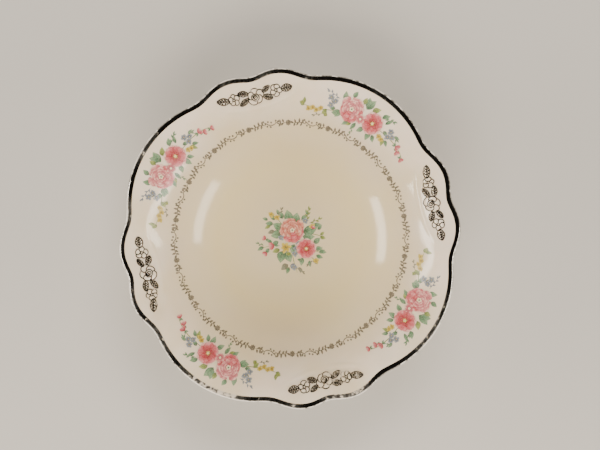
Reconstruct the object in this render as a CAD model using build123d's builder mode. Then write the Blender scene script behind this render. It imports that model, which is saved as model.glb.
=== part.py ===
"""Porcelain serving bowl with a lobed rim, moulded garlands and printed flowers.

Millimetres, +Z up.  The origin is the middle of the foot, on the surface that the bowl stands on.
A moulded garland lies on each of the +X, +Y, -X and -Y axes and a rose spray lies between each pair.
"""
from build123d import *
from math import cos, exp, log, pi, radians, sin, sqrt
import os

os.makedirs("parts", exist_ok=True)

# Overall size
bowl_width = 241.0            # across two opposite wide lobes
bowl_height = 63.0            # foot to top of the lip
clay_wall = 3.8               # fired clay alone
glaze_thickness = 0.25        # on every glazed face

# Meridian: the line halfway through the wall, from the flat floor out to the lip
floor_radius = 30.0           # flat part of the floor
foot_recess = 3.8             # underside of the floor above the table
flange_width = 37.5           # from the shoulder of the well out to the edge of the wide lobes
flange_rise = 28.0            # from the shoulder up to the top of the lip
shoulder_slope = 52.0         # degrees, where the well turns into the flange
rim_slope = 22.0              # degrees, at the lip

# Lobed rim: four wide lobes, and four pairs of small scallops between them
sides = 4
lobe_radius = 74.8            # arc of a wide lobe
scallop_radius = 24.4         # arc of a small scallop
scallop_inset = 1.6           # how far a scallop's top stays inside the wide lobes
scallop_turn = 9.0            # degrees from the middle of the pair to each scallop
cove_softness = 4.4           # rounding where two arcs meet

# Foot ring
foot_radius = 46.5            # middle of the bearing face
foot_face = 3.2               # width of the bearing face
foot_flare = 2.4              # how much each side spreads up to the wall
bare_foot = 1.0               # height that is wiped free of glaze

# Moulded garland
relief_height = 0.55          # how far the moulding stands out of the flange
garland_rose = 4.6            # radius of the middle rose
garland_blossom = 3.5         # radius of a five-petalled blossom
garland_blossom_at = 14.6     # from the middle rose to each blossom
garland_leaf = 7.2            # length of a leaf
garland_leaf_width = 3.4
garland_leaf_lean = 28.0      # degrees between each inner leaf and the length of the garland
garland_petals = (7, 5)       # of the rose and of a blossom
line_width = 0.6              # metal line along the edges of the moulding

# Metal and enamel, fired on over the glaze
print_thickness = 0.1
print_seat = 0.04             # clearance between a print and the glaze under it
rim_band_width = 3.0          # metal band, inside the lip
border_width = 5.2            # printed ring on the shoulder
border_pitch = 29.0           # one repeat of the printed ring
border_rosette = 1.7          # radius of the round flower in each repeat
border_leaf = 2.6             # length of a leaf in the ring
border_leaf_width = 1.3
border_berry = 0.6            # radius of a dot in the ring
stem_width = 0.5              # stems that join the printed flowers
rose_radius = 8.2             # large roses of a spray
floret_radius = 2.8           # small flowers
bud_radius = 2.2
spray_leaf = 8.0              # length of a large printed leaf
spray_leaf_width = 4.4
small_leaf = 5.6
small_leaf_width = 2.6
print_gap = 1.5               # bare glaze kept between the ring print and the fluted flange

# Drawing
points_per_lobe = 30          # points on the outline of one quarter
floor_sections = 14           # sections from the floor to the lip
lip_sections = 5              # sections round the lip
wedge_points = 16             # points on the outline of a slice of the flange
wedge_sections = 8
wedge_margin = 3.0            # degrees that a slice reaches past the pattern on it
ring_sections = 5             # points across the band that carries the ring print
ring_margin = 1.5             # how far that band reaches past the print
petal_place = 0.58            # middles of a flower's petals, as a share of its radius
layer_bite = 0.3              # how deep a raised layer is rooted in what carries it
seam_turn = 18.0              # degrees, where each closed outline starts: clear of every print

# Worked out from the sizes above
rim_radius = bowl_width / 2
shoulder_radius = rim_radius - flange_width
shoulder_height = bowl_height - flange_rise
glazed_half = clay_wall / 2 + glaze_thickness
clay_half = clay_wall / 2
print_half = glazed_half + print_seat
border_outer = shoulder_radius + border_width / 2
flute_start = border_outer + print_gap
flange_middle = (flute_start + rim_radius - rim_band_width) / 2
floor_height = foot_recess + 2 * glazed_half


def direction(slope):
    return (cos(radians(slope)), sin(radians(slope)))


def arc_reach(turn, reach, radius, middle):
    """Distance from the bowl's axis to an arc that tops out at reach, in the direction turn."""
    offset_from_axis = reach - radius
    across = offset_from_axis * sin(radians(turn - middle))
    along = offset_from_axis * cos(radians(turn - middle))
    if abs(across) > radius or along < 0:
        return 0.0
    return along + sqrt(radius ** 2 - across ** 2)


def rim_reach(turn):
    """Rim radius in the direction turn: the arcs of the lobes and scallops, softly joined."""
    quarter = 360 / sides
    turn = (turn + quarter / 2) % quarter - quarter / 2
    scallop_top = rim_radius - scallop_inset
    reaches = [
        arc_reach(turn, rim_radius, lobe_radius, quarter / 2),
        arc_reach(turn, rim_radius, lobe_radius, -quarter / 2),
        arc_reach(turn, scallop_top, scallop_radius, scallop_turn),
        arc_reach(turn, scallop_top, scallop_radius, -scallop_turn),
    ]
    furthest = max(reaches)
    return furthest + cove_softness * log(sum(exp((reach - furthest) / cove_softness) for reach in reaches))


def flute_share(radius):
    """How much of the rim's lobes shows at this radius: none at the shoulder, all at the lip."""
    share = (radius - flute_start) / (rim_radius - glazed_half - flute_start)
    share = min(max(share, 0.0), 1.0)
    return share * share * (3 - 2 * share)


def outline(radius, share):
    """Closed horizontal outline of the wall, lobed as much as share says."""
    count = points_per_lobe * sides
    points = []
    for step in range(count):
        turn = seam_turn + step * 360 / count
        reach = radius + share * (rim_reach(turn) - rim_radius)
        points.append((reach * cos(radians(turn)), reach * sin(radians(turn))))
    return Edge.make_spline(points, periodic=True, parameters=[step / count for step in range(count + 1)])


# Meridian of the wall, drawn in the XY plane as radius and height
with BuildLine() as meridian:
    Spline(
        (floor_radius, foot_recess + glazed_half),
        (shoulder_radius, shoulder_height),
        (rim_radius - glazed_half, bowl_height - glazed_half),
        tangents=[direction(0), direction(shoulder_slope), direction(rim_slope)],
    )
middle_line = meridian.edges()[0]
flange_begin = middle_line.param_at_point((shoulder_radius, shoulder_height))


def wall_section(share_of_way, side):
    """Radius, height and flute share on one side of the wall: side is the distance inward or outward."""
    point = middle_line @ share_of_way
    heading = middle_line % share_of_way
    return (point.X - heading.Y * side, point.Y + heading.X * side, flute_share(point.X))


def lip_section(share_of_lip, half):
    """The same, on the half circle that rounds the lip from the inside to the outside."""
    point = middle_line @ 1
    heading = middle_line % 1
    inward = half * cos(pi * share_of_lip)
    ahead = half * sin(pi * share_of_lip)
    return (
        point.X - heading.Y * inward + heading.X * ahead,
        point.Y + heading.X * inward + heading.Y * ahead,
        flute_share(point.X),
    )


def loft_sections(sections):
    """Solid through horizontal outlines, given as radius, height and flute share."""
    with BuildPart() as solid:
        for radius, height, share in sections:
            with BuildSketch(Plane.XY.offset(height)):
                with BuildLine():
                    add(outline(radius, share))
                make_face()
        loft()
    return solid.part


def wall_solid(half):
    """The bowl without its foot, reaching half to each side of the meridian."""
    way = [step / floor_sections for step in range(floor_sections + 1)]
    lip_way = [step / (lip_sections + 1) for step in range(1, lip_sections + 1)]
    inside = [wall_section(share, half) for share in way]
    lip = [lip_section(share, half) for share in lip_way]
    outside = [wall_section(share, -half) for share in reversed(way)]
    return loft_sections(inside + lip + outside)


def wedge_outline(radius, share, first_turn, last_turn):
    """Slice of a horizontal outline, closed through the axis."""
    turns = [first_turn + (last_turn - first_turn) * step / wedge_points for step in range(wedge_points + 1)]
    reaches = [radius + share * (rim_reach(turn) - rim_radius) for turn in turns]
    points = [(reach * cos(radians(turn)), reach * sin(radians(turn))) for turn, reach in zip(turns, reaches)]
    with BuildSketch() as slice_shape:
        with BuildLine():
            add(Edge.make_spline(points, parameters=[step / wedge_points for step in range(wedge_points + 1)]))
            Polyline(points[-1], (0, 0), points[0])
        make_face()
    return slice_shape.sketch


def flange_wedge(lift, first_turn, last_turn):
    """Slice of what lies above the flange, over a surface that stands lift inside the meridian."""
    with BuildPart() as wedge:
        for step in range(wedge_sections + 1):
            share_of_way = flange_begin + (1 - flange_begin) * step / wedge_sections
            radius, height, share = wall_section(share_of_way, lift)
            with BuildSketch(Plane.XY.offset(height)):
                add(wedge_outline(radius, share, first_turn, last_turn))
        loft()
    return wedge.part


def flange_layer(mask, bottom, top, first_turn, last_turn):
    """Layer on the flange between two lifts from the meridian, only where the flat mask lies over it."""
    upper = flange_wedge(top, first_turn, last_turn)
    lower = flange_wedge(bottom, first_turn, last_turn)
    with BuildPart() as layer:
        with BuildSketch(Plane.XY.offset(foot_recess)):
            add(mask)
        extrude(amount=bowl_height)
        add(lower, mode=Mode.INTERSECT)
        add(upper, mode=Mode.SUBTRACT)
    return layer.part


def foot_solid(coat):
    """Foot ring, grown by coat on its two sides."""
    top = foot_recess + clay_wall
    half_face = foot_face / 2 + coat
    with BuildPart() as foot:
        with BuildSketch(Plane.XZ):
            with BuildLine():
                Polyline(
                    (foot_radius - half_face, 0),
                    (foot_radius + half_face, 0),
                    (foot_radius + half_face + foot_flare, top),
                    (foot_radius - half_face - foot_flare / 2, top),
                    close=True,
                )
            make_face()
        revolve(axis=Axis.Z)
    return foot.part


def around(turn, reach, spin=0):
    """Place at a direction and radius.  Its X points outward, turned by spin degrees."""
    return Location((reach * cos(radians(turn)), reach * sin(radians(turn)), 0), (0, 0, turn + spin))


def along(distance, reach):
    """Direction in degrees of a place that lies a distance round a circle of this radius."""
    return distance / reach * 180 / pi


def leaf(length, width):
    """Pointed leaf along X, from its stalk at the origin."""
    with BuildSketch() as shape:
        with BuildLine():
            ThreePointArc((0, 0), (length / 2, width / 2), (length, 0))
            ThreePointArc((length, 0), (length / 2, -width / 2), (0, 0))
        make_face()
    return shape.sketch


def blossom(radius, petals):
    """Round flower with overlapping petals."""
    petal_ring = radius * petal_place
    petal_radius = radius - petal_ring
    with BuildSketch() as shape:
        Circle(petal_ring)
        with PolarLocations(petal_ring, petals):
            Circle(petal_radius)
    return shape.sketch


def stem(first, last, place):
    """Thin arc between two distances along a circle; place gives a position for a distance and an outward step."""
    middle = (first + last) / 2
    points = []
    for outward in (-stem_width / 2, stem_width / 2):
        for distance in (first, middle, last):
            points.append(place(distance, outward).position)
    with BuildSketch() as shape:
        with BuildLine():
            ThreePointArc(*points[:3])
            Line(points[2], points[5])
            ThreePointArc(*reversed(points[3:]))
            Line(points[3], points[0])
        make_face()
    return shape.sketch


# Moulded garland: outlines of its flowers and leaves, straight along the rim, middle on the X axis
def garland_shapes(grow):
    """Each shape of the garland with its place, grown by grow on every side."""
    rose_petals, blossom_petals = garland_petals
    shapes = [(around(0, flange_middle), blossom(garland_rose + grow, rose_petals))]
    leaf_shape = leaf(garland_leaf + 2 * grow, garland_leaf_width + 2 * grow)
    leaf_root = garland_rose - garland_leaf_width / 4 - grow
    for end in (1, -1):
        blossom_place = Location((flange_middle, end * garland_blossom_at, 0), (0, 0, end * 90))
        shapes.append((blossom_place, blossom(garland_blossom + grow, blossom_petals)))
        end_root = end * (garland_blossom_at + garland_blossom - garland_leaf_width / 4 - grow)
        shapes.append((Location((flange_middle, end_root, 0), (0, 0, end * 90)), leaf_shape))
        for lean in (garland_leaf_lean, -garland_leaf_lean):
            root = Location((flange_middle, end * leaf_root, 0), (0, 0, end * (90 + lean)))
            shapes.append((root, leaf_shape))
    return shapes


def garland_mask(grow):
    with BuildSketch() as mask:
        for place, shape in garland_shapes(grow):
            add(shape.moved(place))
    return mask.sketch


def garland_line_mask():
    """Line of even width just inside the edge of each flower and leaf."""
    with BuildSketch() as mask:
        for (place, shape), (inner_place, inner_shape) in zip(garland_shapes(0), garland_shapes(-line_width)):
            add(shape.moved(place) - inner_shape.moved(inner_place))
    return mask.sketch


garland_reach = along(garland_blossom_at + garland_blossom + garland_leaf, flange_middle)
garland_slice = (-garland_reach - wedge_margin, garland_reach + wedge_margin)
clay_relief = flange_layer(garland_mask(0), clay_half - layer_bite, clay_half + relief_height, *garland_slice)
glazed_relief = flange_layer(
    garland_mask(glaze_thickness), glazed_half - layer_bite, glazed_half + relief_height, *garland_slice
)

# Clay body: wall, foot ring and the four moulded garlands, fired as one piece
clay_wall_solid = wall_solid(clay_half)
clay_foot = foot_solid(0)
with BuildPart() as clay_body:
    add(clay_wall_solid)
    add(clay_foot)
    with PolarLocations(0, sides):
        add(clay_relief)
clay_body.part.label = "clay_body"
export_step(clay_body.part, "parts/clay_body.step")

# Glaze: an even coat over the whole body but the bottom of the foot, which leaves a separate patch under the base
glazed_wall_solid = wall_solid(glazed_half)
glazed_foot = foot_solid(glaze_thickness)
with BuildPart() as glaze:
    add(glazed_wall_solid)
    add(glazed_foot)
    with PolarLocations(0, sides):
        add(glazed_relief)
    add(clay_body.part, mode=Mode.SUBTRACT)
    with Locations((0, 0, bare_foot / 2)):
        Box(bowl_width, bowl_width, bare_foot, mode=Mode.SUBTRACT)
glaze_pieces = glaze.part.solids().sort_by(lambda piece: piece.bounding_box().size.X)

with BuildPart() as glaze_coat:
    add(glaze_pieces[-1])
glaze_coat.part.label = "glaze_coat"
export_step(glaze_coat.part, "parts/glaze_coat.step")

with BuildPart() as base_glaze:
    add(glaze_pieces[-2])
base_glaze.part.label = "base_glaze"
export_step(base_glaze.part, "parts/base_glaze.step")

# Metal band: over the lip and down its inner side
lip_metal = wall_solid(glazed_half + print_thickness)
band_bottom = bowl_height - rim_band_width * sin(radians(rim_slope)) - glazed_half * (1 - cos(radians(rim_slope)))
with BuildPart() as rim_band:
    with Locations((0, 0, band_bottom + bowl_height / 2)):
        Box(2 * bowl_width, 2 * bowl_width, bowl_height)
    add(lip_metal, mode=Mode.INTERSECT)
    add(glazed_wall_solid, mode=Mode.SUBTRACT)
rim_band.part.label = "rim_band"
export_step(rim_band.part, "parts/rim_band.step")


# Printed ring on the shoulder: the same repeat all the way round
border_repeats = round(2 * pi * shoulder_radius / border_pitch)
border_leaves = (             # root along the ring and outward, and the way it points from outward
    (3.6, 0.5, 40), (3.6, -0.5, 140), (7.4, 0.4, 50), (7.4, -0.4, 130), (11.2, 0, 30), (15.2, 0, 20),
    (17.8, 0, 160), (20.6, -1.0, 20), (22.4, 0.9, 150), (24.4, -0.9, 30),
)
border_berries = ((12.0, 1.5), (14.0, 1.9), (16.2, 1.5), (13.2, -1.3))
border_stem = (2.2, 18.5)     # where the stem begins and ends


def on_ring(distance, outward=0.0, spin=0):
    """Place in one repeat: distance along the ring from its round flower, and outward from its middle."""
    return around(along(distance, shoulder_radius), shoulder_radius + outward, spin)


with BuildSketch() as border_repeat:
    with Locations(on_ring(0)):
        Circle(border_rosette)
    for distance, outward, spin in border_leaves:
        add(leaf(border_leaf, border_leaf_width).moved(on_ring(distance, outward, spin)))
    for distance, outward in border_berries:
        with Locations(on_ring(distance, outward)):
            Circle(border_berry)
    add(stem(*border_stem, on_ring))

ring_half = (border_width / 2 + ring_margin) / middle_line.length
ring_way = [flange_begin + ring_half * (2 * step / (ring_sections - 1) - 1) for step in range(ring_sections)]
with BuildPart() as border_layer:
    with BuildSketch(Plane.XZ):
        with BuildLine():
            lower = [wall_section(share, print_half)[:2] for share in ring_way]
            upper = [wall_section(share, print_half + print_thickness)[:2] for share in ring_way]
            Spline(*lower)
            Line(lower[-1], upper[-1])
            Spline(*reversed(upper))
            Line(upper[0], lower[0])
        make_face()
    revolve(axis=Axis.Z)
with BuildPart() as border_pattern:
    with BuildSketch(Plane.XY.offset(foot_recess)):
        add(border_repeat.sketch)
    extrude(amount=bowl_height)
    add(border_layer.part, mode=Mode.INTERSECT)
with BuildPart() as border_print:
    with PolarLocations(0, border_repeats):
        add(border_pattern.part)
border_print.part.label = "border_print"
export_step(border_print.part, "parts/border_print.step")

# Bouquet on the flat floor, set out by direction and distance from the axis
bouquet_flowers = (           # direction, distance, radius, petals
    (72, 5.4, rose_radius + 0.6, 9), (-35, 14.3, rose_radius - 0.5, 5), (-122, 8.5, 4.7, 6),
    (118, 22.5, floret_radius, 5), (125, 18.5, floret_radius, 5), (-43, 25.8, floret_radius, 5),
    (58, 17.5, floret_radius, 5), (-84, 22.1, floret_radius, 5), (24, 17.4, bud_radius, 5),
    (-156, 15.8, bud_radius, 5), (-174, 20.7, bud_radius, 5), (-147, 22.8, bud_radius, 5),
)
bouquet_leaves = (            # direction and distance of the root, and the way it points from outward
    (98, 11.5, 0), (72, 12, -10), (145, 9, 0), (163, 8, 20), (14, 11, 0), (-6, 13, 0), (-116, 13, -10),
    (-100, 13, 10), (-70, 15, 0),
)
bouquet_small_leaves = (
    (116, 15, 0), (150, 17, 0), (48, 18, 10), (62, 20, -10), (10, 20, 0), (-2, 20, 0), (-24, 21, 0),
    (-96, 19, 0), (-74, 23, 0), (-162, 19, 0), (-55, 22, -20),
)
with BuildPart() as centre_bouquet:
    with BuildSketch(Plane.XY.offset(floor_height)):
        for turn, reach, radius, petals in bouquet_flowers:
            add(blossom(radius, petals).moved(around(turn, reach)))
        for turn, reach, spin in bouquet_leaves:
            add(leaf(spray_leaf, spray_leaf_width).moved(around(turn, reach, spin)))
        for turn, reach, spin in bouquet_small_leaves:
            add(leaf(small_leaf, small_leaf_width).moved(around(turn, reach, spin)))
    extrude(amount=print_thickness)
centre_bouquet.part.label = "centre_bouquet"
export_step(centre_bouquet.part, "parts/centre_bouquet.step")

# Rose spray on the flange, set out along its own length from the middle between two garlands
spray_flowers = (             # distance along, outward, radius, petals
    (10.3, -2.0, rose_radius, 9), (-7.5, -3.0, rose_radius, 5), (23.4, -0.4, floret_radius, 5),
    (26.6, -1.4, floret_radius, 5), (33.0, -8.4, floret_radius, 5), (38.0, -9.0, floret_radius, 5),
    (-18.2, -6.6, floret_radius, 5), (-21.5, 0.0, floret_radius, 5), (-24.6, -2.2, floret_radius, 5),
    (26.5, -10.6, bud_radius, 5), (45.4, -6.2, bud_radius, 5), (-32.3, -4.6, bud_radius, 5),
    (-40.6, -6.4, bud_radius, 5),
)
spray_leaves = (              # root along and outward, and the way it points from outward
    (1, 2.7, -10), (1, 3.7, 30), (15, 1, 30), (15, -5, 115), (14, -6, 155), (-9, -8.0, 200), (-3, -8.0, 160),
)
spray_small_leaves = (
    (-4, 4.0, -40), (5, -8.5, 170), (-14, 1.7, -20), (-13, 3.7, -60), (-20, -6.4, 230), (-21, -1.5, 280),
    (21, 1.6, 70), (28, -6.5, 150), (43, -7, 60), (43, -7, 120),
)
spray_stems = ((-40.0, -8.0, -4.6), (12.0, 45.0, -6.4))    # from, to, outward


def on_flange(distance, outward=0.0, spin=0):
    middle = 180 / sides
    return around(middle + along(distance, flange_middle), flange_middle + outward, spin)


with BuildSketch() as spray_outline:
    for distance, outward, radius, petals in spray_flowers:
        add(blossom(radius, petals).moved(on_flange(distance, outward)))
    for distance, outward, spin in spray_leaves:
        add(leaf(spray_leaf, spray_leaf_width).moved(on_flange(distance, outward, spin)))
    for distance, outward, spin in spray_small_leaves:
        add(leaf(small_leaf, small_leaf_width).moved(on_flange(distance, outward, spin)))
    for first, last, outward in spray_stems:
        add(stem(first, last, lambda distance, step: on_flange(distance, outward + step)))
spray_reach = along(max(distance for distance, outward, radius, petals in spray_flowers), flange_middle)
spray_slice = (180 / sides - spray_reach - wedge_margin, 180 / sides + spray_reach + wedge_margin)
spray_layer = flange_layer(spray_outline.sketch, print_half, print_half + print_thickness, *spray_slice)

garland_top = print_half + relief_height
garland_lines = flange_layer(garland_line_mask(), garland_top, garland_top + print_thickness, *garland_slice)

for number in range(sides):
    with BuildPart() as rose_spray:
        add(spray_layer, rotation=(0, 0, number * 360 / sides))
    rose_spray.part.label = f"rose_spray_{number + 1}"
    export_step(rose_spray.part, f"parts/rose_spray_{number + 1}.step")
    with BuildPart() as garland_line:
        add(garland_lines, rotation=(0, 0, number * 360 / sides))
    garland_line.part.label = f"garland_line_{number + 1}"
    export_step(garland_line.part, f"parts/garland_line_{number + 1}.step")
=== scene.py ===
import math
import bmesh
import bpy
import numpy as np
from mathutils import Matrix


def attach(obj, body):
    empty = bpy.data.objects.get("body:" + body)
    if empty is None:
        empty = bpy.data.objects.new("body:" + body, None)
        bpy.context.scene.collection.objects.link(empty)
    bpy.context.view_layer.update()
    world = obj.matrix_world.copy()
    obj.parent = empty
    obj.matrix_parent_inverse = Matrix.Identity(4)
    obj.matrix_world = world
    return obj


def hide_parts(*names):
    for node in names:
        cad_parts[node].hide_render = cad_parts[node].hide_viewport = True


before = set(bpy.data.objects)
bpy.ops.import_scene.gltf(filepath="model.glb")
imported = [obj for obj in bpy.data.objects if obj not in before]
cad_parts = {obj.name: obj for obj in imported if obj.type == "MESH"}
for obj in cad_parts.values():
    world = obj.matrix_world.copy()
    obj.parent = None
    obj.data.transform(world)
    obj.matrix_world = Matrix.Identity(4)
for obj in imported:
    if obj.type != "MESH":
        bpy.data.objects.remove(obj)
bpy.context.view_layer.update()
print("frame loaded")

mm = 0.001
weldGap = 0.000004         # closes seams and poles


# sRGB hex to linear RGBA
def toLinear(hexColour):
    channels = [int(hexColour[place:place + 2], 16) / 255 for place in (1, 3, 5)]
    return [c / 12.92 if c <= 0.04045 else ((c + 0.055) / 1.055) ** 2.4 for c in channels] + [1.0]


def addNode(tree, kind, links=None, inputs=None, stops=None, **settings):
    node = tree.nodes.new(kind)
    for name, value in settings.items():
        setattr(node, name, value)
    for name, value in (inputs or {}).items():
        node.inputs[name].default_value = value
    for name, source in (links or {}).items():
        tree.links.new(source, node.inputs[name])
    if stops:       # places and colours of a ramp
        elements = node.color_ramp.elements
        while len(elements) < len(stops):
            elements.new(0.5)
        for element, (place, colour) in zip(elements, stops):
            element.position = place
            element.color = toLinear(colour)
    return node


def startMaterial(name):
    material = bpy.data.materials.new(name)
    material.use_nodes = True
    tree = material.node_tree
    tree.nodes.clear()
    shader = addNode(tree, "ShaderNodeBsdfPrincipled")
    addNode(tree, "ShaderNodeOutputMaterial", {"Surface": shader.outputs["BSDF"]})
    return material, tree, shader


def newPiece(name, mesh):
    piece = bpy.data.objects.new(name, mesh)
    bpy.context.scene.collection.objects.link(piece)
    return piece


# Shape of the bowl, in millimetres

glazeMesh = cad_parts["glaze_coat"].data
glazePoints = np.array([v.co for v in glazeMesh.vertices]) * 1000

bowlShape = {
    "rimRadius": float(np.hypot(glazePoints[:, 0], glazePoints[:, 1]).max()),
    "lipTop": float(glazePoints[:, 2].max()),
    "floorRadius": 30.0,
    "floorMiddle": 15.0,     # one step inside the flat floor
    "footRecess": 3.8,
    "halfWall": 2.15,
    "flangeWidth": 37.5,
    "flangeRise": 28.0,
    "shoulderSlope": 52.0,
    "rimSlope": 22.0,
    "lobeRadius": 74.8,
    "scallopRadius": 24.4,
    "scallopInset": 1.6,
    "scallopTurn": 9.0,
    "coveSoftness": 4.4,
    "fluteStart": 4.1,       # past the shoulder
    "footRadius": 46.5,
    "footFace": 3.2,
    "footFlare": 2.4,
    "footGlaze": 0.25,       # thickness of the glaze on its sides
    "footRound": 0.35,       # rounding of the ground edge
    "bareFoot": 1.0,
    "joinStart": 1.5,        # past the flare, where the glaze starts to curve down to the foot
    "joinSteps": 9,
    "bandWidth": 1.2,
    "edgeShare": 0.29,       # of the half round of the lip, where the metal is worn through to the glaze; this edge is coloured whiter than the glaze, a painted highlight
    "edgeEnd": 0.52,
    "bandLift": 0.03,
    "lipSteps": 14,
    "turns": 480,            # steps around
    "sections": 84,          # steps from the floor to the lip
}
shape = bowlShape
shoulderRadius = shape["rimRadius"] - shape["flangeWidth"]
shoulderHeight = shape["lipTop"] - shape["flangeRise"]
floorHeight = shape["footRecess"] + 2 * shape["halfWall"]
lipMiddle = shape["rimRadius"] - shape["halfWall"]


def arcReach(turn, reach, radius, middle):
    offset = reach - radius
    across = offset * np.sin(turn - middle)
    along = offset * np.cos(turn - middle)
    inside = (np.abs(across) < radius) & (along > 0)
    return np.where(inside, along + np.sqrt(np.maximum(radius ** 2 - across ** 2, 0)), 0)


# Radius of the lobed rim at each angle in radians
def rimReach(turn):
    quarter = math.pi / 2
    turn = (turn + quarter / 2) % quarter - quarter / 2
    scallopTop = shape["rimRadius"] - shape["scallopInset"]
    scallop = math.radians(shape["scallopTurn"])
    reaches = np.stack([
        arcReach(turn, shape["rimRadius"], shape["lobeRadius"], quarter / 2),
        arcReach(turn, shape["rimRadius"], shape["lobeRadius"], -quarter / 2),
        arcReach(turn, scallopTop, shape["scallopRadius"], scallop),
        arcReach(turn, scallopTop, shape["scallopRadius"], -scallop),
    ])
    furthest = reaches.max(0)
    soft = shape["coveSoftness"]
    return furthest + soft * np.log(np.exp((reaches - furthest) / soft).sum(0))


def fluteShare(radius):
    start = shoulderRadius + shape["fluteStart"]
    share = np.clip((radius - start) / (lipMiddle - start), 0, 1)
    return share * share * (3 - 2 * share)


# Curve between two points with the slopes given in degrees: points and headings
def hermite(start, end, startSlope, endSlope, share):
    start, end = np.array(start), np.array(end)
    length = np.hypot(*(end - start))
    first = length * np.array([math.cos(math.radians(startSlope)), math.sin(math.radians(startSlope))])
    last = length * np.array([math.cos(math.radians(endSlope)), math.sin(math.radians(endSlope))])
    t = share[:, None]
    points = (
        (2 * t ** 3 - 3 * t ** 2 + 1) * start + (t ** 3 - 2 * t ** 2 + t) * first
        + (3 * t ** 2 - 2 * t ** 3) * end + (t ** 3 - t ** 2) * last
    )
    headings = (
        (6 * t ** 2 - 6 * t) * start + (3 * t ** 2 - 4 * t + 1) * first
        + (6 * t - 6 * t ** 2) * end + (3 * t ** 2 - 2 * t) * last
    )
    return points, headings / np.hypot(headings[:, 0], headings[:, 1])[:, None]


# Middle line of the wall from the flat floor out to the lip
def meridian(steps):
    wellSteps = int(steps * 0.6)
    floorPoint = (shape["floorRadius"], shape["footRecess"] + shape["halfWall"])
    shoulder = (shoulderRadius, shoulderHeight)
    lip = (lipMiddle, shape["lipTop"] - shape["halfWall"])
    wellPoints, wellHeadings = hermite(
        floorPoint, shoulder, 0, shape["shoulderSlope"], np.linspace(0, 1, wellSteps + 1)
    )
    flangePoints, flangeHeadings = hermite(
        shoulder, lip, shape["shoulderSlope"], shape["rimSlope"], np.linspace(0, 1, steps - wellSteps + 1)
    )
    return np.vstack([wellPoints, flangePoints[1:]]), np.vstack([wellHeadings, flangeHeadings[1:]])


# Radius, height and flute share of a surface that lies side mm inside the middle line
def wallSide(steps, side):
    points, headings = meridian(steps)
    radius = points[:, 0] - headings[:, 1] * side
    height = points[:, 1] + headings[:, 0] * side
    return np.column_stack([radius, height, fluteShare(points[:, 0])])


# The same for the half circle over the lip, from its inner side to its outer side
def lipRound(steps, half):
    points, headings = meridian(10)
    point, heading = points[-1], headings[-1]
    angle = math.pi * np.linspace(0, 1, steps + 1)
    inward, ahead = half * np.cos(angle), half * np.sin(angle)
    radius = point[0] - heading[1] * inward + heading[0] * ahead
    height = point[1] + heading[0] * inward + heading[1] * ahead
    return np.column_stack([radius, height, np.ones(steps + 1)])


innerTable = wallSide(600, shape["halfWall"])


# Height of the glaze inside the bowl, and its slope away from the axis
def surfaceHeight(x, y):
    radius, turn = np.hypot(x, y), np.arctan2(y, x)
    dip = rimReach(turn) - shape["rimRadius"]
    roundRadius = radius
    for _ in range(12):
        roundRadius = radius - np.interp(roundRadius, innerTable[:, 0], innerTable[:, 2]) * dip
    height = np.interp(roundRadius, innerTable[:, 0], innerTable[:, 1], left=floorHeight)
    above = np.interp(roundRadius + 0.2, innerTable[:, 0], innerTable[:, 1], left=floorHeight)
    return height, (above - height) / 0.2


# Points that stand lift mm off the glaze, seen from above at x, y
def onBowl(x, y, lift):
    height, slope = surfaceHeight(x, y)
    return np.column_stack([x, y, height + lift * np.sqrt(1 + slope ** 2)])


def startTree(name, inputs):
    tree = bpy.data.node_groups.new(name, "GeometryNodeTree")
    for label, kind in inputs.items():
        tree.interface.new_socket(label, in_out="INPUT", socket_type="NodeSocket" + kind)
    tree.interface.new_socket("Geometry", in_out="OUTPUT", socket_type="NodeSocketGeometry")
    return tree, addNode(tree, "NodeGroupInput").outputs


# Last nodes of every tree: real mesh, one finish
def endTree(tree, source, finish):
    real = addNode(tree, "GeometryNodeRealizeInstances", {"Geometry": source})
    painted = addNode(tree, "GeometryNodeSetMaterial", {"Geometry": real.outputs[0], "Material": finish})
    addNode(tree, "NodeGroupOutput", {"Geometry": painted.outputs[0]})
    return tree


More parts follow.
